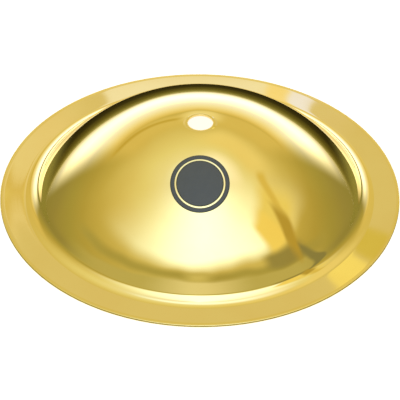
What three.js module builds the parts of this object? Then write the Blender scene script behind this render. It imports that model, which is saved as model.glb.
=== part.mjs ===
// Bell cymbal: one disc of brass sheet, spun into a deep dome with a narrow brim and pierced at its crown.
// Millimetres, +Z up. The origin is on the axis, level with the flat under the rim that the bell rests on.
import * as THREE from "three";

// Plan sizes
const rimDiameter = 203.2;
const brimWidth = 13;
const holeDiameter = 12.7;
const seatWidth = 1.7; // level ring round the hole, which the felts press on
const restWidth = 1.0; // level ring under the rim, worn flat by what the bell stands on

// Height of the dome's top surface, from the brim's inner edge up to the seat
const domeHeight = 46.8;

// Section of the sheet
const sheetThickness = 1.2;
const edgeRound = 0.3;

// Slopes at which the bends of the top surface end, from the crown outwards, in degrees down from level
const crownSlope = 29.4;
const haunchSlope = 49.8;
const shoulderSlope = 57.5;
const brimSlope = 1;

// Radius of each bend, as a share of the dome's radius. The foot bends the other way, out into the brim.
const crownRadiusShare = 1.03;
const haunchRadiusShare = 1.43;
const shoulderRadiusShare = 0.286;
const footRadiusShare = -0.101;

// Fineness of the mesh: segments round the axis, and degrees of bend to a step
const segmentCount = 64;
const domeStepDegrees = 5;
const footStepDegrees = 8;

const brass = new THREE.MeshStandardMaterial({ color: 0xe2c064, roughness: 0.1, metalness: 1 });

const rimRadius = rimDiameter / 2;
const holeRadius = holeDiameter / 2;
const domeRadius = rimRadius - brimWidth;
const seatRadius = holeRadius + seatWidth;
const restRadius = rimRadius - edgeRound - restWidth;

const bends = [
  { radiusShare: crownRadiusShare, endSlope: crownSlope, stepDegrees: domeStepDegrees },
  { radiusShare: haunchRadiusShare, endSlope: haunchSlope, stepDegrees: domeStepDegrees },
  { radiusShare: shoulderRadiusShare, endSlope: shoulderSlope, stepDegrees: domeStepDegrees },
  { radiusShare: footRadiusShare, endSlope: brimSlope, stepDegrees: footStepDegrees },
];

const sine = (degrees) => Math.sin(THREE.MathUtils.degToRad(degrees));
const cosine = (degrees) => Math.cos(THREE.MathUtils.degToRad(degrees));
const tangent = (degrees) => Math.tan(THREE.MathUtils.degToRad(degrees));

// How far out the bends reach together, as a share of the dome's radius. It is close to 1, and the bends'
// radii are divided by it, so that the dome ends exactly where the brim begins.
function bendReach() {
  let reach = 0;
  let slope = 0;
  for (const bend of bends) {
    reach += bend.radiusShare * (sine(bend.endSlope) - sine(slope));
    slope = bend.endSlope;
  }
  return reach;
}

// The dome's top surface from the seat's edge to the brim's inner edge, as arcs. Each point has its slope,
// and z starts at 0.
function domeLine() {
  const radiusUnit = domeRadius / bendReach();
  const seatSlope = THREE.MathUtils.radToDeg(Math.asin(seatRadius / (crownRadiusShare * radiusUnit)));
  const line = [{ r: seatRadius, z: 0, slope: seatSlope }];
  for (const bend of bends) {
    const start = line[line.length - 1];
    const radius = bend.radiusShare * radiusUnit;
    const turn = bend.endSlope - start.slope;
    const stepCount = Math.max(2, Math.round(Math.abs(turn) / bend.stepDegrees));
    for (let step = 1; step <= stepCount; step += 1) {
      const slope = start.slope + (turn * step) / stepCount;
      line.push({
        r: start.r + radius * (sine(slope) - sine(start.slope)),
        z: start.z - radius * (cosine(start.slope) - cosine(slope)),
        slope,
      });
    }
  }
  return line;
}

// The same line stretched in height to the dome's own, with its slopes, standing on the brim.
function raisedDomeLine(seatLevel) {
  const line = domeLine();
  const stretch = -domeHeight / line[line.length - 1].z;
  return line.map(({ r, z, slope }) => ({
    r,
    z: seatLevel + z * stretch,
    slope: THREE.MathUtils.radToDeg(Math.atan(tangent(slope) * stretch)),
  }));
}

// Height of the brim's top surface at a radius. Its underside meets the rest ring's inner edge at z = 0.
const brimTop = (r) => (restRadius - r) * tangent(brimSlope) + sheetThickness / cosine(brimSlope);

// The sheet's whole section, as a closed outline that runs out along the underside and back along the top.
function sheetSection() {
  const seatLevel = brimTop(domeRadius) + domeHeight;
  const dome = raisedDomeLine(seatLevel);
  const seatMitre = sheetThickness * tangent(dome[0].slope / 2);
  const underDome = dome.slice(1).map(({ r, z, slope }) => [
    r - sheetThickness * sine(slope),
    z - sheetThickness * cosine(slope),
  ]);
  const section = [
    [holeRadius, seatLevel - sheetThickness],
    [seatRadius - seatMitre, seatLevel - sheetThickness],
    ...underDome,
    [restRadius, 0],
    [rimRadius - edgeRound, 0],
    [rimRadius, edgeRound],
    [rimRadius, brimTop(rimRadius) - edgeRound],
    [rimRadius - edgeRound, brimTop(rimRadius - edgeRound)],
    ...dome.reverse().map(({ r, z }) => [r, z]),
    [holeRadius, seatLevel],
  ];
  section.push(section[0]);
  return section.map(([r, z]) => new THREE.Vector2(r, z));
}

function bellShell() {
  const geometry = new THREE.LatheGeometry(sheetSection(), segmentCount);
  geometry.rotateX(Math.PI / 2); // the lathe turns about Y, and the bell stands along Z
  const mesh = new THREE.Mesh(geometry, brass);
  mesh.name = "bell_shell";
  return mesh;
}

const bellCymbal = new THREE.Group();
bellCymbal.add(bellShell());

export default bellCymbal;
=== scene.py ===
# Bell cymbal of polished brass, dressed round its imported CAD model.
# Sizes in the dictionaries are millimetres and degrees unless a note says otherwise.
import math

import bmesh
import bpy
import numpy as np
from mathutils import Matrix, Vector
from mathutils.bvhtree import BVHTree


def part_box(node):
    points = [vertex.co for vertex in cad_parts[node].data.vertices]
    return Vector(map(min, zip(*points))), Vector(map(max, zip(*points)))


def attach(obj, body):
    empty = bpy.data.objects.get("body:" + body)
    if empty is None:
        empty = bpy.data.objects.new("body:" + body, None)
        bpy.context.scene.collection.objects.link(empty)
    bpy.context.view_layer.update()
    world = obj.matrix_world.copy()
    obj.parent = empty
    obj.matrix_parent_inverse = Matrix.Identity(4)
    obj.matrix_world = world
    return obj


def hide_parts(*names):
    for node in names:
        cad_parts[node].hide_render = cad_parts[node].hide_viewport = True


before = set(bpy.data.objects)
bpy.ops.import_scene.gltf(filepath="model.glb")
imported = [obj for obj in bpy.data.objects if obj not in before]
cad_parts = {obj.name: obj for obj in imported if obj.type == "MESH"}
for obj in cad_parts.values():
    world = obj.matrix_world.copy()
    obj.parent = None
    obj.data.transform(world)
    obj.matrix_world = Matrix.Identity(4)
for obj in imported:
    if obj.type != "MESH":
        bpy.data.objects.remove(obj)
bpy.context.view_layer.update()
print("frame loaded")

mm = 0.001
bodyName = "root"
shellNode = "bell_shell"


def linearColour(hexColour, alpha=1.0):
    channels = [int(hexColour[i:i + 2], 16) / 255 for i in (1, 3, 5)]
    return [c / 12.92 if c <= 0.04045 else ((c + 0.055) / 1.055) ** 2.4 for c in channels] + [alpha]


def addNode(tree, kind, inputs=None, **settings):
    node = tree.nodes.new(kind)
    for name, value in settings.items():
        setattr(node, name, value)
    for key, value in (inputs or {}).items():
        if isinstance(key, int):
            socket = node.inputs[key]
        else:
            socket = next(i for i in node.inputs if i.name == key and i.enabled)
        if isinstance(value, bpy.types.NodeSocket):
            tree.links.new(value, socket)
        else:
            socket.default_value = value
    return node


def fillRamp(ramp, stops):
    elements = ramp.color_ramp.elements
    while len(elements) < len(stops):
        elements.new(0.5)
    for element, (place, colour) in zip(elements, stops):
        element.position = place
        element.color = colour


def emptyMaterial(name):
    material = bpy.data.materials.new(name)
    material.use_nodes = True
    material.node_tree.nodes.clear()
    return material, material.node_tree


def addObject(name, data):
    piece = bpy.data.objects.new(name, data)
    bpy.context.scene.collection.objects.link(piece)
    return piece


# The bell's sheet. Its bends are those of the CAD section, and their ends are eased so that reflections run
# on smoothly from one bend to the next.

bell = {
    "brimWidth": 13,
    "holeDiameter": 12.7,
    "seatWidth": 1.7,
    "sheetThickness": 1.2,
    "edgeRound": 0.3,
    "holeEdgeRound": 0.15,
    "roundSteps": 4,  # faces on each quarter of a rounded edge
    "brimSlope": 1,
    "restWidth": 1.0,
    # (radius as a share of the dome's radius, slope at the bend's end), from the crown outwards
    "bends": ((1.03, 29.4), (1.43, 49.8), (0.286, 57.5), (-0.101, 1)),
    "domeEase": 9,  # length over which the dome's bends run into each other
    "footEase": 1.4,  # the same at the wall and the foot, where the sheet turns sharply
    "easeGrowth": 0.45,  # how fast the ease grows with distance from the foot
    "traceStep": 0.05,
    "longestStep": 1.3,
    "turnStep": 1.6,  # most that the section turns between two of its points, in degrees
    "segments": 288,
    "seamDistance": 0.005,  # the spun sheet's ends meet within this
    "waviness": 0.035,  # height of the hand-spun sheet's waves
    "waveLength": 46,
    "waveSeed": 3.7,
    "calmMargins": (5, 24),  # the waves die out over these lengths at the hole and at the rim
}


def bendLine(sizes, domeRadius, seatRadius):
    slopes = [0] + [math.radians(slope) for _, slope in sizes["bends"]]
    shares = [share for share, _ in sizes["bends"]]
    reach = sum(s * (math.sin(b) - math.sin(a)) for s, a, b in zip(shares, slopes, slopes[1:]))
    unit = domeRadius / reach
    slopes[0] = math.asin(seatRadius / (shares[0] * unit))
    line = [(seatRadius, 0.0)]
    for share, a, b in zip(shares, slopes, slopes[1:]):
        r, z = line[-1]
        radius = share * unit
        count = math.ceil(abs(radius * (b - a)) / sizes["traceStep"])
        for slope in np.linspace(a, b, count + 1)[1:]:
            line.append((r + radius * (math.sin(slope) - math.sin(a)),
                         z - radius * (math.cos(a) - math.cos(slope))))
    return np.array(line)


def easedTop(sizes, rimRadius, topLevel):
    holeRadius = sizes["holeDiameter"] / 2
    domeRadius = rimRadius - sizes["brimWidth"]
    seatRadius = holeRadius + sizes["seatWidth"]
    brimFall = math.tan(math.radians(sizes["brimSlope"]))
    restRadius = rimRadius - sizes["edgeRound"] - sizes["restWidth"]
    sheetRise = sizes["sheetThickness"] / math.cos(math.radians(sizes["brimSlope"]))
    brimLevel = (restRadius - domeRadius) * brimFall + sheetRise
    rimLevel = (restRadius - rimRadius) * brimFall + sheetRise

    dome = bendLine(sizes, domeRadius, seatRadius)
    dome[:, 1] = topLevel + dome[:, 1] * (topLevel - brimLevel) / -dome[-1, 1]
    line = np.vstack([[holeRadius, topLevel], dome, [rimRadius, rimLevel]])
    step = np.diff(line, axis=0)
    path = np.concatenate([[0], np.cumsum(np.hypot(step[:, 0], step[:, 1]))])
    fine = np.arange(0, path[-1], sizes["traceStep"])
    middle = fine + sizes["traceStep"] / 2
    slope = np.interp(middle, (path[1:] + path[:-1]) / 2, np.arctan2(-step[:, 1], step[:, 0]))
    steepest = middle[np.argmax(slope)]

    ease = sizes["footEase"] + sizes["easeGrowth"] * (steepest - middle)
    ease = np.clip(ease, sizes["footEase"], sizes["domeEase"])
    ease = np.minimum(ease, 2 * middle)
    total = np.concatenate([[0], np.cumsum(slope) * sizes["traceStep"]])
    edges = np.append(fine, fine[-1] + sizes["traceStep"])
    gain = np.interp(middle + ease / 2, edges, total) - np.interp(middle - ease / 2, edges, total)
    slope = gain / ease

    r = np.concatenate([[0], np.cumsum(np.cos(slope))])
    z = np.concatenate([[0], np.cumsum(np.sin(slope))])
    r = holeRadius + r * (rimRadius - holeRadius) / r[-1]
    z = topLevel - z * (topLevel - rimLevel) / z[-1]
    slope = np.arctan2(-np.gradient(z), np.gradient(r))

    turn = np.abs(np.gradient(slope, edges))
    density = np.maximum(1 / sizes["longestStep"], turn / math.radians(sizes["turnStep"]))
    count = np.concatenate([[0], np.cumsum((density[1:] + density[:-1]) / 2 * np.diff(edges))])
    picked = np.interp(np.linspace(0, count[-1], math.ceil(count[-1]) + 1), count, edges)
    return [np.interp(picked, edges, values) for values in (r, z, slope, edges)]


def cornerPoints(centre, radius, startDegrees, endDegrees, steps):
    angles = np.radians(np.linspace(startDegrees, endDegrees, steps + 1))
    return [(centre[0] + radius * math.cos(a), centre[1] + radius * math.sin(a)) for a in angles]


def bellSection(sizes):
    _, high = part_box(shellNode)
    rimRadius = high.x / mm
    topLevel = high.z / mm
    r, z, slope, path = easedTop(sizes, rimRadius, topLevel)
    thickness = sizes["sheetThickness"]
    edge = sizes["edgeRound"]
    lip = sizes["holeEdgeRound"]
    steps = sizes["roundSteps"]
    holeRadius = sizes["holeDiameter"] / 2

    inside = (r > holeRadius + lip) & (r < rimRadius - edge)
    top = np.column_stack([r, z, path])[inside]
    under = np.column_stack([r - thickness * np.sin(slope), z - thickness * np.cos(slope), path])
    under = under[inside]
    under[:, 1] = np.maximum(under[:, 1], 0)
    under = under[(under[:, 0] > holeRadius + lip) & (under[:, 0] < rimRadius - edge)]

    rimTop = top[-1, 1]
    rim = (cornerPoints((rimRadius - edge, edge), edge, -90, 0, steps)
           + cornerPoints((rimRadius - edge, rimTop - edge), edge, 0, 90, steps))
    hole = (cornerPoints((holeRadius + lip, topLevel - lip), lip, 90, 180, steps)
            + cornerPoints((holeRadius + lip, topLevel - thickness + lip), lip, 180, 270, steps))
    rows = ([tuple(p) for p in under] + [(*p, path[-1]) for p in rim]
            + [tuple(p) for p in top[::-1]] + [(*p, path[0]) for p in hole])
    rows.append(rows[0])
    return np.array(rows), path[-1]


def sectionObject(sizes):
    rows, pathLength = bellSection(sizes)
    mesh = bpy.data.meshes.new("bellSection")
    points = [(r * mm, 0, z * mm) for r, z, _ in rows]
    mesh.from_pydata(points, [(i, i + 1) for i in range(len(points) - 1)], [])
    path = rows[:, 2]
    toEdge = np.minimum(path, pathLength - path)
    atHole, atRim = sizes["calmMargins"]
    calm = np.clip(np.minimum(path / atHole, (pathLength - path) / atRim), 0, 1)
    sway = calm * calm * (3 - 2 * calm)
    for name, values in (("sheetPath", path * mm), ("edgeDistance", toEdge * mm), ("sway", sway)):
        attribute = mesh.attributes.new(name, "FLOAT", "POINT")
        attribute.data.foreach_set("value", values.astype(np.float32))
    print("section points:", len(points))
    return addObject("bell_section", mesh)


def spinTree():
    tree = bpy.data.node_groups.new("spinSheet", "GeometryNodeTree")
    sockets = {"Section": "NodeSocketGeometry", "Segments": "NodeSocketInt",
               "Waviness": "NodeSocketFloat", "Wave length": "NodeSocketFloat",
               "Wave seed": "NodeSocketFloat", "Seam distance": "NodeSocketFloat",
               "Brass": "NodeSocketMaterial"}
    for name, kind in sockets.items():
        tree.interface.new_socket(name, in_out="INPUT", socket_type=kind)
    tree.interface.new_socket("Sheet", in_out="OUTPUT", socket_type="NodeSocketGeometry")
    given = addNode(tree, "NodeGroupInput").outputs
    size = addNode(tree, "GeometryNodeAttributeDomainSize", {"Geometry": given["Section"]},
                   component="MESH")
    rounds = addNode(tree, "ShaderNodeMath", {0: given["Segments"], 1: 1.0}, operation="ADD")
    grid = addNode(tree, "GeometryNodeMeshGrid", {"Vertices X": size.outputs["Point Count"],
                                                  "Vertices Y": rounds.outputs[0]})
    place = addNode(tree, "GeometryNodeInputPosition").outputs[0]
    share = addNode(tree, "ShaderNodeVectorMath", {0: place, 1: (0.5, 0.5, 0.0)}, operation="ADD")
    along = addNode(tree, "ShaderNodeSeparateXYZ", {0: share.outputs[0]}).outputs
    last = addNode(tree, "ShaderNodeMath", {0: size.outputs["Point Count"], 1: 1.0}, operation="SUBTRACT")
    index = addNode(tree, "ShaderNodeMath", {0: along["X"], 1: last.outputs[0]}, operation="MULTIPLY")
    index = addNode(tree, "FunctionNodeFloatToInt", {0: index.outputs[0]}, rounding_mode="ROUND")
    index = index.outputs[0]
    angle = addNode(tree, "ShaderNodeMath", {0: along["Y"], 1: math.tau}, operation="MULTIPLY")

    # the section's own values are read before the grid is bent to it
    sheet = grid.outputs["Mesh"]
    for name in ("sheetPath", "edgeDistance", "sway"):
        own = addNode(tree, "GeometryNodeInputNamedAttribute", {"Name": name}, data_type="FLOAT")
        read = addNode(tree, "GeometryNodeSampleIndex",
                       {"Geometry": given["Section"], "Value": own.outputs["Attribute"], "Index": index},
                       data_type="FLOAT", domain="POINT")
        store = addNode(tree, "GeometryNodeStoreNamedAttribute",
                        {"Geometry": sheet, "Name": name, "Value": read.outputs[0]},
                        data_type="FLOAT", domain="POINT")
        sheet = store.outputs["Geometry"]
    point = addNode(tree, "GeometryNodeSampleIndex",
                    {"Geometry": given["Section"], "Value": place, "Index": index},
                    data_type="FLOAT_VECTOR", domain="POINT")
    turned = addNode(tree, "ShaderNodeVectorRotate",
                     {"Vector": point.outputs[0], "Angle": angle.outputs[0]}, rotation_type="Z_AXIS")
    spun = addNode(tree, "GeometryNodeSetPosition", {"Geometry": sheet, "Position": turned.outputs[0]})
    closed = addNode(tree, "GeometryNodeMergeByDistance",
                     {"Geometry": spun.outputs[0], "Distance": given["Seam distance"]})

    # both faces of the sheet ride the same waves, so its thickness stays
    plan = addNode(tree, "ShaderNodeVectorMath", {0: place, 1: (1.0, 1.0, 0.0)}, operation="MULTIPLY")
    perWave = addNode(tree, "ShaderNodeMath", {0: 1.0, 1: given["Wave length"]}, operation="DIVIDE")
    noise = addNode(tree, "ShaderNodeTexNoise",
                    {"Vector": plan.outputs[0], "W": given["Wave seed"], "Scale": perWave.outputs[0],
                     "Detail": 1.0, "Roughness": 0.4}, noise_dimensions="4D")
    wave = addNode(tree, "ShaderNodeMath", {0: noise.outputs[0], 1: 0.5}, operation="SUBTRACT")
    wave = addNode(tree, "ShaderNodeMath", {0: wave.outputs[0], 1: given["Waviness"]}, operation="MULTIPLY")
    sway = addNode(tree, "GeometryNodeInputNamedAttribute", {"Name": "sway"}, data_type="FLOAT")
    wave = addNode(tree, "ShaderNodeMath", {0: wave.outputs[0], 1: sway.outputs["Attribute"]},
                   operation="MULTIPLY")
    lift = addNode(tree, "ShaderNodeCombineXYZ", {"Z": wave.outputs[0]})
    waved = addNode(tree, "GeometryNodeSetPosition",
                    {"Geometry": closed.outputs[0], "Offset": lift.outputs[0]})

    smooth = addNode(tree, "GeometryNodeSetShadeSmooth",
                     {"Geometry": waved.outputs[0], "Shade Smooth": True})
    real = addNode(tree, "GeometryNodeRealizeInstances", {"Geometry": smooth.outputs[0]})
    finish = addNode(tree, "GeometryNodeSetMaterial",
                     {"Geometry": real.outputs[0], "Material": given["Brass"]})
    addNode(tree, "NodeGroupOutput", {"Sheet": finish.outputs[0]})
    return tree


def bellShell(sizes, brass):
    section = sectionObject(sizes)
    tree = spinTree()
    spin = section.modifiers.new("spin", "NODES")
    spin.node_group = tree
    values = {"Segments": sizes["segments"], "Waviness": sizes["waviness"] * mm,
              "Wave length": sizes["waveLength"] * mm, "Wave seed": sizes["waveSeed"],
              "Seam distance": sizes["seamDistance"] * mm, "Brass": brass}
    for item in tree.interface.items_tree:
        if item.in_out == "INPUT" and item.name in values:
            spin[item.identifier] = values[item.name]
    graph = bpy.context.evaluated_depsgraph_get()
    mesh = bpy.data.meshes.new_from_object(section.evaluated_get(graph), depsgraph=graph)
    bpy.data.objects.remove(section)
    mesh.name = "spunBell"
    shell = addObject("spun_bell", mesh)
    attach(shell, bodyName)
    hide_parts(shellNode)
    print("spun bell faces:", len(mesh.polygons))
    return shell


# The disc printed on the near slope, a skin of ink that follows the sheet.

ink = {
    "diameter": 29.6,
    "stretch": 1.075,  # the screen gives on the curve and draws the circle out down the slope
    "fromAxis": 39.6,  # from the axis to the disc's centre, measured along the sheet
    "lift": 0.03,
    "sink": 0.05,
    "bareRing": (11.8, 12.6),  # radii of the ring that the screen leaves bare
    "ringStep": 0.8,
    "segments": 120,
    "printHeight": 20,  # from which the circle is laid onto the sheet
}


def inkBand(target, surface, plane, sizes, innerRadius, outerRadius):
    centre, across, down, outward = plane
    ringCount = math.ceil((outerRadius - innerRadius) / sizes["ringStep"])
    layers = []
    for offset in (sizes["lift"], -sizes["sink"]):
        layer = []
        for radius in np.linspace(innerRadius, outerRadius, ringCount + 1):
            ring = []
            for step in range(sizes["segments"] if radius > 0 else 1):
                turn = math.tau * step / sizes["segments"]
                aside = across * math.cos(turn) + down * math.sin(turn) * sizes["stretch"]
                above = centre + aside * radius * mm + outward * sizes["printHeight"] * mm
                place, normal, _, _ = surface.ray_cast(above, -outward)
                ring.append(target.verts.new(place + normal * offset * mm))
            layer.append(ring)
        layers.append(layer)

    def bridge(one, other):
        for i in range(len(other)):
            following = i + 1
            corners = [one[i % len(one)], other[i], other[following % len(other)],
                       one[following % len(one)]]
            target.faces.new(list(dict.fromkeys(corners)))

    for layer in layers:
        for one, other in zip(layer, layer[1:]):
            bridge(one, other)
    bridge(layers[1][-1], layers[0][-1])
    if innerRadius > 0:
        bridge(layers[0][0], layers[1][0])


# The screen is held square to the slope at the disc's centre, so the plane of its circle is tangent there.
def printPlane(sizes):
    _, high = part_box(shellNode)
    r, z, slope, path = easedTop(bell, high.x / mm, high.z / mm)
    fromHole = sizes["fromAxis"] - bell["holeDiameter"] / 2
    plan, level, tilt = (float(np.interp(fromHole, path, values)) for values in (r, z, slope))
    down = Vector((0, -math.cos(tilt), -math.sin(tilt)))
    across = Vector((1, 0, 0))
    return Vector((0, -plan, level)) * mm, across, down, down.cross(across)


def printedDisc(sizes, shell, inkMaterial):
    points = [vertex.co for vertex in shell.data.vertices]
    faces = [face.vertices for face in shell.data.polygons]
    surface = BVHTree.FromPolygons(points, faces)
    plane = printPlane(sizes)
    target = bmesh.new()
    inkBand(target, surface, plane, sizes, 0, sizes["bareRing"][0])
    inkBand(target, surface, plane, sizes, sizes["bareRing"][1], sizes["diameter"] / 2)
    bmesh.ops.recalc_face_normals(target, faces=target.faces)
    mesh = bpy.data.meshes.new("printedDisc")
    target.to_mesh(mesh)
    target.free()
    mesh.materials.append(inkMaterial)
    mesh.shade_smooth()
    disc = addObject("printed_disc", mesh)
    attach(disc, bodyName)
    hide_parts(shellNode)
    print("printed disc faces:", len(mesh.polygons))
    return disc


# Cartridge brass, spun, then buffed to a mirror: a warm yellow metal whose reflections are nearly sharp.
# What is left of the lathe's tool shows as faint rings, and the buffing wheel leaves a slight haze.

brassLook = {
    "clean": "#F5DE96",
    "tarnish": "#EFCF7E",
    "tarnishPatch": 38,
    "tarnishRange": (0.35, 0.75),  # noise values between which the tarnish sets in
    "tarnishShare": 0.35,
    "roughness": (0.018, 0.035),
    "hazePatch": 22,
    "hazeRange": (0.3, 0.7),
    "ringSpacing": 0.9,  # lathe rings are nearer 0.2 mm apart, too fine to show
    "ringDepth": 0.0003,
    "wornRim": 0.6,  # the edge rubs on cases and hands over this width
    "wornRoughness": 0.2,
}


def polishedBrass(look):
    material, tree = emptyMaterial("polished brass")
    place = addNode(tree, "ShaderNodeTexCoord").outputs["Object"]
    path = addNode(tree, "ShaderNodeAttribute", attribute_name="sheetPath").outputs["Fac"]
    toEdge = addNode(tree, "ShaderNodeAttribute", attribute_name="edgeDistance").outputs["Fac"]

    patches = addNode(tree, "ShaderNodeTexNoise",
                      {"Vector": place, "Scale": 1 / (look["tarnishPatch"] * mm), "Detail": 4.0,
                       "Roughness": 0.55})
    amount = addNode(tree, "ShaderNodeMapRange",
                     {"Value": patches.outputs[0], "From Min": look["tarnishRange"][0],
                      "From Max": look["tarnishRange"][1], "To Max": look["tarnishShare"]},
                     interpolation_type="SMOOTHSTEP")
    colour = addNode(tree, "ShaderNodeMix",
                     {"Factor": amount.outputs[0], "A": linearColour(look["clean"]),
                      "B": linearColour(look["tarnish"])}, data_type="RGBA")

    haze = addNode(tree, "ShaderNodeTexNoise",
                   {"Vector": place, "Scale": 1 / (look["hazePatch"] * mm), "Detail": 5.0,
                    "Roughness": 0.6})
    rough = addNode(tree, "ShaderNodeMapRange",
                    {"Value": haze.outputs[0], "From Min": look["hazeRange"][0],
                     "From Max": look["hazeRange"][1], "To Min": look["roughness"][0],
                     "To Max": look["roughness"][1]})
    worn = addNode(tree, "ShaderNodeMapRange",
                   {"Value": toEdge, "From Max": look["wornRim"] * mm, "To Min": 1.0, "To Max": 0.0},
                   interpolation_type="SMOOTHSTEP")
    rough = addNode(tree, "ShaderNodeMix",
                    {"Factor": worn.outputs[0], "A": rough.outputs[0], "B": look["wornRoughness"]},
                    data_type="FLOAT")

    rings = addNode(tree, "ShaderNodeTexNoise",
                    {"W": path, "Scale": 1 / (look["ringSpacing"] * mm), "Detail": 3.0,
                     "Roughness": 0.6}, noise_dimensions="1D")
    groove = addNode(tree, "ShaderNodeBump",
                     {"Height": rings.outputs[0], "Distance": look["ringDepth"] * mm, "Strength": 1.0})
    surface = addNode(tree, "ShaderNodeBsdfPrincipled",
                      {"Base Color": colour.outputs[2], "Metallic": 1.0,
                       "Roughness": rough.outputs[0], "Normal": groove.outputs[0]})
    addNode(tree, "ShaderNodeOutputMaterial", {"Surface": surface.outputs[0]})
    return material


# Screen-printed ink, a satin charcoal film that shows the weave of the screen faintly.

inkLook = {
    "colour": "#434547",
    "worn": "#505254",
    "patch": 4,
    "meshSpacing": 0.5,  # a screen has about 8 threads to a millimetre, too fine to show
    "meshDepth": 0.004,
    "roughness": (0.42, 0.55),
}


def screenInk(look):
    material, tree = emptyMaterial("screen printed ink")
    place = addNode(tree, "ShaderNodeTexCoord").outputs["Object"]
    patches = addNode(tree, "ShaderNodeTexNoise",
                      {"Vector": place, "Scale": 1 / (look["patch"] * mm), "Detail": 4.0})
    colour = addNode(tree, "ShaderNodeMix",
                     {"Factor": patches.outputs[0], "A": linearColour(look["colour"]),
                      "B": linearColour(look["worn"])}, data_type="RGBA")
    rough = addNode(tree, "ShaderNodeMapRange",
                    {"Value": patches.outputs[0], "To Min": look["roughness"][0],
                     "To Max": look["roughness"][1]})
    threads = addNode(tree, "ShaderNodeTexVoronoi",
                      {"Vector": place, "Scale": 1 / (look["meshSpacing"] * mm), "Randomness": 0.2})
    weave = addNode(tree, "ShaderNodeBump",
                    {"Height": threads.outputs[0], "Distance": look["meshDepth"] * mm, "Strength": 1.0})
    surface = addNode(tree, "ShaderNodeBsdfPrincipled",
                      {"Base Color": colour.outputs[2], "Roughness": rough.outputs[0],
                       "Normal": weave.outputs[0], "IOR": 1.5})
    addNode(tree, "ShaderNodeOutputMaterial", {"Surface": surface.outputs[0]})
    return material


# The stage: a pale floor, a lit card bent round the back of the bell, a mat round the bell that only
# reflections see, whose colours are painted reflection and painted shade, and a room of warm walls with a
# cool softbox in front and others overhead.

stage = {
    "segments": 96,  # sides of the floor and of the mat
    "floorRadius": 30000,
    "floorDrop": 0.1,
    "floorColour": "#B8B8B6",
    "floorGlow": 0.8,
    "matRadii": (101.7, 12000),
    "matLift": 0.4,
    # (distance from the axis, colour) behind the bell, painted dark reflection, darkest beside the rim as
    # painted shade
    "matShades": ((110, "#302910"), (150, "#3F3819"), (175, "#554D22"), (225, "#655D29"),
                  (300, "#7C743C"), (490, "#9E9765")),
    # the colour at the bell's sides, painted reflection too
    "matSide": "#9B975D",
    "matTurn": (44, 66),  # azimuth over which the dark ground gives way to the side's colour
    "cardSegments": 48,
    "cardRadius": 600,
    "cardTurn": -2.2,  # azimuth of its middle
    "cardReach": 55.3,  # azimuth from its middle to its ends
    "cardHeight": 370,
    "cardFade": 19,  # azimuth over which its ends fade
    "cardTopFade": 44,
    "cardStrength": 2.6,
    # (height, colour), cool white that warms towards the foot and the top
    "cardShades": ((3, "#93917C"), (30, "#B5BAC8"), (58, "#E3E8F2"), (98, "#EDF4FD"),
                   (162, "#CED3E1"), (205, "#ADB2C2"), (238, "#A9ABAA"), (270, "#A6A390"),
                   (303, "#A09874"), (338, "#948956")),
}

walls = {
    # (elevation, colour)
    "stops": ((-12, "#908B55"), (0, "#979359"), (8, "#9E9961"), (18, "#ACA661"), (26, "#BAAF65"),
              (34, "#CBBF76"), (42, "#DBD190"), (50, "#E6DEA4"), (58, "#EFECBA"), (66, "#F6F6D7"),
              (74, "#FAFFF9"), (82, "#FFFFFF")),
    "wobble": 1.2,  # angle by which the zones' edges waver
    "wobbleScale": 2.4,
}

# Zones of the room, painted over the walls and each other in this order. Azimuth 0 is behind the bell and
# +90 to its right. Reach is the half width, and low and high are levels, each with its edge's softness.
# Levels fall with the square of the azimuth from the crest, by drop, and climb to the right by tilt.
room = (
    # the far wall, a paler piece up to its right, and a warm glow in its middle
    {"colour": "#E2D48E", "azimuth": -2, "reach": (44, 8), "low": (27, 3), "high": (42, 6)},
    {"colour": "#F6EBB1", "azimuth": 32, "reach": (30, 14), "low": (46, 6), "high": (60, 5)},
    {"colour": "#F7F1C5", "azimuth": 1, "reach": (7, 5), "low": (26, 4), "high": (36, 3)},
    # the wall in front, paler in the middle
    {"colour": "#C4BF86", "azimuth": 180, "reach": (84, 20), "drop": 0.0024, "high": (42, 2)},
    {"colour": "#ECEACB", "azimuth": 180, "reach": (22, 20), "drop": 0.0024, "high": (42, 2)},
    # softboxes, in front and overhead
    {"colour": "#CDE1FF", "strength": 2.6, "azimuth": 168, "reach": (57.5, 57.5), "drop": 0.0013,
     "crest": 182, "low": (48.3, 4)},
    {"colour": "#FBFDFF", "strength": 1.15, "azimuth": 45, "reach": (38, 18), "low": (66, 4)},
    {"colour": "#CDE1FF", "strength": 2.0, "azimuth": 5, "reach": (55, 40), "low": (72, 5)},
    # yellow walls on the right
    {"colour": "#F6EBA0", "azimuth": 92, "reach": (18, 10), "low": (37.5, 5), "high": (57, 4)},
    {"colour": "#FFEF9B", "azimuth": 109, "reach": (9, 4), "low": (37.5, 2), "high": (55, 3)},
    # the dark line below the front softbox, weaker in its middle
    {"colour": "#B3AD6C", "azimuth": 180, "reach": (98, 8), "crest": 186, "drop": 0.0021,
     "low": (41.5, 1.6), "high": (45.2, 1.8)},
    {"colour": "#D7D197", "azimuth": 180, "reach": (9, 8), "low": (41, 2), "high": (45, 1.5)},
    # dark things low on the right
    {"colour": "#9E9969", "azimuth": 112, "reach": (14, 5), "tilt": 0.33, "low": (31, 2), "high": (38, 2)},
    {"colour": "#90906C", "azimuth": 95, "reach": (6, 2), "tilt": 1.9, "high": (24, 3)},
    # the long streak down the right, in two pieces, and a thin one on the left
    {"colour": "#E5D481", "azimuth": 76, "reach": (15, 5), "crest": 68, "drop": 0.0155,
     "low": (50.3, 2), "high": (55.5, 2)},
    {"colour": "#C0AC59", "azimuth": 97, "reach": (8, 4), "crest": 68, "drop": 0.0155,
     "low": (47.2, 2.5), "high": (58, 2.5)},
    {"colour": "#CDBA61", "azimuth": -27, "reach": (19, 5), "tilt": 0.12, "low": (29.4, 1.2),
     "high": (32, 1.4)},
)

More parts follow.
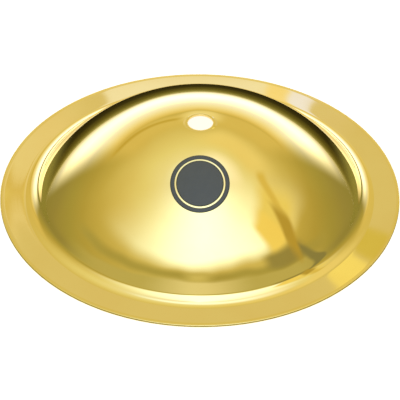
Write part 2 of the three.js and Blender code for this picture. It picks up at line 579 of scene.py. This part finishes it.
# Far panels for the nearly level brim. They stand like a fan in a ring round the spot that it looks at, so
# their edges run straight across it. Inner and outer are shares of the ring's radii, each with its edge's
# softness.
fan = {
    "centre": (0, 39.1),  # azimuth and elevation
    "sag": 0.07,  # how far below the centre the panels' sides meet, as a share of the radius in elevation
    "radii": (5.06, 3.69),  # in azimuth and elevation
    "inner": (0.9, 0.04),
    "outer": (1.35, 0.1),
    "colour": "#E3DAAC",
}

# Turn 0 lies on the far side of the brim and +90 on its right. Reach is the half width at the ring's radii
# with its softness. It grows by spread for each ring radius further out, until outer.
panes = (
    {"colour": "#F1E8C4", "turn": -68, "reach": (25, 12)},
    {"colour": "#F3ECCB", "turn": -89, "reach": (14, 4), "spread": 220, "outer": (1.1, 0.04)},
    {"colour": "#E2D28B", "turn": -89, "reach": (4, 1.5), "spread": 320, "outer": (1.1, 0.04)},
    {"colour": "#ECE2A0", "turn": -90, "reach": (-2, 3), "spread": 160, "outer": (1.1, 0.04)},
    {"colour": "#EBEFFB", "strength": 1.2, "turn": 3, "reach": (34, 1.2)},
    {"colour": "#FAEFC3", "strength": 1.1, "turn": 24.5, "reach": (3.6, 1)},
    {"colour": "#BAC3FC", "strength": 2.0, "turn": 33, "reach": (4, 1)},
    {"colour": "#E7DFBC", "turn": 46, "reach": (7, 6)},
    {"colour": "#DDD176", "turn": 113.5, "reach": (6.5, 1.5)},
    {"colour": "#FDF3A6", "strength": 1.05, "turn": 128.3, "reach": (6.8, 1)},
)


# The azimuth counted from a centre, between -180 and 180.
def turnedFrom(tree, azimuth, centre):
    away = addNode(tree, "ShaderNodeMath", {0: azimuth, 1: centre}, operation="SUBTRACT").outputs[0]
    return addNode(tree, "ShaderNodeMath", {0: away, 1: 180.0, 2: -180.0}, operation="WRAP").outputs[0]


# Each edge gives what is measured, the cover on its near side, where the edge lies and its softness.
def softEdges(tree, edges):
    cover = None
    for place, inside, edge, ease in edges:
        side = addNode(tree, "ShaderNodeMapRange",
                       {"Value": place, "From Min": edge - ease, "From Max": edge + ease,
                        "To Min": inside, "To Max": 1.0 - inside}, interpolation_type="SMOOTHSTEP")
        if cover is None:
            cover = side
        else:
            cover = addNode(tree, "ShaderNodeMath", {0: cover.outputs[0], 1: side.outputs[0]},
                            operation="MULTIPLY")
    return cover.outputs[0]


def zoneCover(tree, zone, azimuth, elevation):
    aside = turnedFrom(tree, azimuth, zone["azimuth"])
    if "drop" in zone:
        away = turnedFrom(tree, azimuth, zone.get("crest", zone["azimuth"]))
        fall = addNode(tree, "ShaderNodeMath", {0: away, 1: away}, operation="MULTIPLY").outputs[0]
        elevation = addNode(tree, "ShaderNodeMath", {0: fall, 1: zone["drop"], 2: elevation},
                            operation="MULTIPLY_ADD").outputs[0]
    if "tilt" in zone:
        elevation = addNode(tree, "ShaderNodeMath", {0: aside, 1: -zone["tilt"], 2: elevation},
                            operation="MULTIPLY_ADD").outputs[0]
    width = addNode(tree, "ShaderNodeMath", {0: aside}, operation="ABSOLUTE").outputs[0]
    edges = [(width, 1.0, *zone["reach"])]
    if "low" in zone:
        edges.append((elevation, 0.0, *zone["low"]))
    if "high" in zone:
        edges.append((elevation, 1.0, *zone["high"]))
    return softEdges(tree, edges)


# Where a direction lies in the fan: its turn, and its distance from the centre in ring radii.
def fanPlace(tree, fan, azimuth, elevation):
    middle, level = fan["centre"]
    halfWidth, halfHeight = fan["radii"]
    across = addNode(tree, "ShaderNodeMapRange",
                     {"Value": azimuth, "From Min": middle, "From Max": middle + halfWidth}, clamp=False)
    below = addNode(tree, "ShaderNodeMapRange",
                    {"Value": elevation, "From Min": level, "From Max": level - halfHeight}, clamp=False)
    lower = addNode(tree, "ShaderNodeMath", {0: below.outputs[0], 1: fan["sag"]}, operation="SUBTRACT")
    turn = addNode(tree, "ShaderNodeMath", {0: across.outputs[0], 1: lower.outputs[0]}, operation="ARCTAN2")
    turn = addNode(tree, "ShaderNodeMath", {0: turn.outputs[0]}, operation="DEGREES")
    place = addNode(tree, "ShaderNodeCombineXYZ", {"X": across.outputs[0], "Y": below.outputs[0]})
    distance = addNode(tree, "ShaderNodeVectorMath", {0: place.outputs[0]}, operation="LENGTH")
    return turn.outputs[0], distance.outputs["Value"]


def paneCover(tree, pane, turn, distance):
    spread = pane.get("spread", 0)
    reach, ease = pane["reach"]
    aside = turnedFrom(tree, turn, pane["turn"])
    width = addNode(tree, "ShaderNodeMath", {0: aside}, operation="ABSOLUTE").outputs[0]
    width = addNode(tree, "ShaderNodeMath", {0: distance, 1: -spread, 2: width},
                    operation="MULTIPLY_ADD").outputs[0]
    edges = [(width, 1.0, reach - spread, ease)]
    if "outer" in pane:
        edges.append((distance, 1.0, *pane["outer"]))
    return softEdges(tree, edges)


def paintOver(tree, light, panel, cover):
    strength = panel.get("strength", 1.0)
    glow = [channel * strength for channel in linearColour(panel["colour"])[:3]] + [1.0]
    painted = addNode(tree, "ShaderNodeMix", {"Factor": cover, "A": light, "B": glow},
                      data_type="RGBA", clamp_result=False)
    return painted.outputs[2]


# The wall's colours and the zones, seen in a direction that noise makes waver a little.
def paintedWalls(tree, walls, room, azimuth, elevation):
    height = addNode(tree, "ShaderNodeMapRange", {"Value": elevation, "From Min": -90.0, "From Max": 90.0})
    ramp = addNode(tree, "ShaderNodeValToRGB", {"Fac": height.outputs[0]})
    fillRamp(ramp, [((angle + 90) / 180, linearColour(colour)) for angle, colour in walls["stops"]])
    light = ramp.outputs[0]
    for zone in room:
        light = paintOver(tree, light, zone, zoneCover(tree, zone, azimuth, elevation))
    return light


# The panels, and the ring in which they show.
def paintedFan(tree, fan, panes, azimuth, elevation):
    turn, distance = fanPlace(tree, fan, azimuth, elevation)
    light = linearColour(fan["colour"])
    for pane in panes:
        light = paintOver(tree, light, pane, paneCover(tree, pane, turn, distance))
    ring = softEdges(tree, [(distance, 0.0, *fan["inner"]), (distance, 1.0, *fan["outer"])])
    return light, ring


def compassAngles(tree, direction):
    axes = addNode(tree, "ShaderNodeSeparateXYZ", {0: direction}).outputs
    turned = addNode(tree, "ShaderNodeMath", {0: axes["X"], 1: axes["Y"]}, operation="ARCTAN2")
    raised = addNode(tree, "ShaderNodeMath", {0: axes["Z"]}, operation="ARCSINE")
    return [addNode(tree, "ShaderNodeMath", {0: angle.outputs[0]}, operation="DEGREES").outputs[0]
            for angle in (turned, raised)]


def lightRoom(walls, room, fan, panes):
    world = bpy.data.worlds.new("studio room")
    bpy.context.scene.world = world
    world.use_nodes = True
    tree = world.node_tree
    tree.nodes.clear()
    way = addNode(tree, "ShaderNodeTexCoord").outputs["Generated"]
    noise = addNode(tree, "ShaderNodeTexNoise",
                    {"Vector": way, "Scale": walls["wobbleScale"], "Detail": 1.0})
    wobble = addNode(tree, "ShaderNodeVectorMath", {0: noise.outputs["Color"], 1: (0.5, 0.5, 0.5)},
                     operation="SUBTRACT")
    # the noise seldom leaves the middle half of its range, so four times that is about the angle each way
    wobble = addNode(tree, "ShaderNodeVectorMath",
                     {0: wobble.outputs[0], "Scale": math.radians(walls["wobble"]) * 4}, operation="SCALE")
    swayed = addNode(tree, "ShaderNodeVectorMath", {0: way, 1: wobble.outputs[0]}, operation="ADD")
    swayed = addNode(tree, "ShaderNodeVectorMath", {0: swayed.outputs[0]}, operation="NORMALIZE")

    light = paintedWalls(tree, walls, room, *compassAngles(tree, swayed.outputs[0]))
    fanned, ring = paintedFan(tree, fan, panes, *compassAngles(tree, way))
    light = addNode(tree, "ShaderNodeMix", {"Factor": ring, "A": light, "B": fanned},
                    data_type="RGBA", clamp_result=False)

    # past the floor's edge the camera sees plain white, while the brass goes on seeing the room
    seen = addNode(tree, "ShaderNodeLightPath").outputs
    straight = addNode(tree, "ShaderNodeMath", {0: seen["Is Camera Ray"], 1: seen["Is Transmission Ray"]},
                       operation="MAXIMUM")
    light = addNode(tree, "ShaderNodeMix",
                    {"Factor": straight.outputs[0], "A": light.outputs[2], "B": linearColour("#FFFFFF")},
                    data_type="RGBA", clamp_result=False)
    sky = addNode(tree, "ShaderNodeBackground", {"Color": light.outputs[2], "Strength": 1.0})
    addNode(tree, "ShaderNodeOutputWorld", {"Surface": sky.outputs[0]})


def ringMesh(name, innerRadius, outerRadius, level, segments):
    points = [(r * math.cos(math.tau * i / segments), r * math.sin(math.tau * i / segments), level)
              for r in (innerRadius, outerRadius) for i in range(segments)]
    faces = [(i, segments + i, segments + (i + 1) % segments, (i + 1) % segments) for i in range(segments)]
    if innerRadius == 0:
        points = points[segments:]
        faces = [tuple(range(segments))]
    mesh = bpy.data.meshes.new(name)
    mesh.from_pydata(points, [], faces)
    return mesh


def paleFloor(look):
    material, tree = emptyMaterial("matt white paper")
    seen = addNode(tree, "ShaderNodeLightPath").outputs
    straight = addNode(tree, "ShaderNodeMath", {0: seen["Is Camera Ray"], 1: seen["Is Glossy Ray"]},
                       operation="MAXIMUM")
    straight = addNode(tree, "ShaderNodeMath", {0: straight.outputs[0], 1: seen["Is Transmission Ray"]},
                       operation="MAXIMUM")
    glow = addNode(tree, "ShaderNodeMath", {0: straight.outputs[0], 1: look["floorGlow"]},
                   operation="MULTIPLY")
    shine = addNode(tree, "ShaderNodeEmission", {"Strength": glow.outputs[0]})
    paper = addNode(tree, "ShaderNodeBsdfDiffuse", {"Color": linearColour(look["floorColour"])})
    both = addNode(tree, "ShaderNodeAddShader", {0: paper.outputs[0], 1: shine.outputs[0]})
    addNode(tree, "ShaderNodeOutputMaterial", {"Surface": both.outputs[0]})
    mesh = ringMesh("floor", 0, look["floorRadius"] * mm, -look["floorDrop"] * mm, look["segments"])
    mesh.materials.append(material)
    floor = addObject("floor", mesh)


# A sheet that only reflections see. Its colours are painted reflection: dark behind the bell, darkest
# beside the rim as painted shade, and olive at the sides.
def darkMat(look):
    material, tree = emptyMaterial("painted reflection sheet")
    place = addNode(tree, "ShaderNodeTexCoord").outputs["Object"]
    distance = addNode(tree, "ShaderNodeVectorMath", {0: place}, operation="LENGTH").outputs["Value"]
    lastRadius = look["matShades"][-1][0]
    share = addNode(tree, "ShaderNodeMapRange", {"Value": distance, "From Max": lastRadius * mm})
    ramp = addNode(tree, "ShaderNodeValToRGB", {"Fac": share.outputs[0]})
    fillRamp(ramp, [(radius / lastRadius, linearColour(colour)) for radius, colour in look["matShades"]])
    axes = addNode(tree, "ShaderNodeSeparateXYZ", {0: place}).outputs
    turned = addNode(tree, "ShaderNodeMath", {0: axes["X"], 1: axes["Y"]}, operation="ARCTAN2")
    turned = addNode(tree, "ShaderNodeMath", {0: turned.outputs[0]}, operation="ABSOLUTE")
    near, far = (math.radians(angle) for angle in look["matTurn"])
    side = addNode(tree, "ShaderNodeMapRange",
                   {"Value": turned.outputs[0], "From Min": near, "From Max": far},
                   interpolation_type="SMOOTHSTEP")
    colour = addNode(tree, "ShaderNodeMix",
                     {"Factor": side.outputs[0], "A": ramp.outputs[0],
                      "B": linearColour(look["matSide"])}, data_type="RGBA")
    # painted reflection and painted shade, which only the brass sees
    paintedReflection = addNode(tree, "ShaderNodeBsdfDiffuse", {"Color": colour.outputs[2]})
    addNode(tree, "ShaderNodeOutputMaterial", {"Surface": paintedReflection.outputs[0]})
    inner, outer = (radius * mm for radius in look["matRadii"])
    mesh = ringMesh("mat", inner, outer, look["matLift"] * mm, look["segments"])
    mesh.materials.append(material)
    mat = addObject("mat", mesh)
    mat.visible_camera = False
    mat.visible_diffuse = False
    mat.visible_shadow = False


def litCard(look):
    material, tree = emptyMaterial("lit white card")
    place = addNode(tree, "ShaderNodeTexCoord").outputs["Object"]
    place = addNode(tree, "ShaderNodeSeparateXYZ", {0: place}).outputs
    top = look["cardHeight"]
    share = addNode(tree, "ShaderNodeMapRange", {"Value": place["Z"], "From Max": top * mm})
    ramp = addNode(tree, "ShaderNodeValToRGB", {"Fac": share.outputs[0]})
    fillRamp(ramp, [(height / top, linearColour(colour)) for height, colour in look["cardShades"]])
    shine = addNode(tree, "ShaderNodeEmission",
                    {"Color": ramp.outputs[0], "Strength": look["cardStrength"]})
    turned = addNode(tree, "ShaderNodeMath", {0: place["X"], 1: place["Y"]}, operation="ARCTAN2")
    turned = addNode(tree, "ShaderNodeMath", {0: turned.outputs[0]}, operation="DEGREES")
    aside = turnedFrom(tree, turned.outputs[0], look["cardTurn"])
    aside = addNode(tree, "ShaderNodeMath", {0: aside}, operation="ABSOLUTE").outputs[0]
    sideEase = look["cardFade"] / 2
    topEase = look["cardTopFade"] / 2 * mm
    solid = softEdges(tree, [(aside, 1.0, look["cardReach"] - sideEase, sideEase),
                             (place["Z"], 1.0, top * mm - topEase, topEase)])
    clear = addNode(tree, "ShaderNodeBsdfTransparent")
    both = addNode(tree, "ShaderNodeMixShader", {0: solid, 1: clear.outputs[0], 2: shine.outputs[0]})
    addNode(tree, "ShaderNodeOutputMaterial", {"Surface": both.outputs[0]})
    count = look["cardSegments"]
    radius = look["cardRadius"] * mm
    firstTurn = math.radians(look["cardTurn"] - look["cardReach"])
    lastTurn = math.radians(look["cardTurn"] + look["cardReach"])
    points = [(math.sin(turn) * radius, math.cos(turn) * radius, level)
              for level in (0, top * mm) for turn in np.linspace(firstTurn, lastTurn, count + 1)]
    faces = [(i, i + 1, count + i + 2, count + i + 1) for i in range(count)]
    mesh = bpy.data.meshes.new("litCard")
    mesh.from_pydata(points, [], faces)
    mesh.materials.append(material)
    card = addObject("lit_card", mesh)
    card.visible_camera = False
    card.visible_shadow = False


# The camera stands where the photograph was taken from. The rim's ellipse gives its elevation and roll, and
# hardly tells its distance.

view = {
    "elevation": 39.04,
    "distance": 2032,
    "focalPixels": 3992.2,
    "imagePixels": 400,
    "rimPixel": (199.8, 195.0),  # where the photograph has the centre of the rim's plane
    "rimLevel": 1.18,
    "roll": 0.45,
    "sensor": 36,
}


def placeCamera(sizes):
    data = bpy.data.cameras.new("camera")
    camera = addObject("camera", data)
    data.sensor_width = sizes["sensor"]
    data.lens = sizes["focalPixels"] * sizes["sensor"] / sizes["imagePixels"]
    tilt = math.radians(sizes["elevation"])
    back = Vector((0, -math.cos(tilt), math.sin(tilt)))
    right = Vector((1, 0, 0))
    up = back.cross(right)
    perPixel = sizes["distance"] * mm / sizes["focalPixels"]
    aside, down = (pixel - sizes["imagePixels"] / 2 for pixel in sizes["rimPixel"])
    rimCentre = Vector((0, 0, sizes["rimLevel"] * mm))
    target = rimCentre - right * aside * perPixel + up * down * perPixel
    place = rimCentre + back * sizes["distance"] * mm
    turned = (target - place).to_track_quat("-Z", "Y").to_matrix().to_4x4()
    roll = Matrix.Rotation(math.radians(sizes["roll"]), 4, "Z")
    camera.matrix_world = Matrix.Translation(place) @ turned @ roll
    bpy.context.scene.camera = camera


bpy.context.scene.view_settings.view_transform = "Standard"
placeCamera(view)
lightRoom(walls, room, fan, panes)
paleFloor(stage)
darkMat(stage)
litCard(stage)
print("stage set")

shell = bellShell(bell, polishedBrass(brassLook))
printedDisc(ink, shell, screenInk(inkLook))
print("bell dressed")
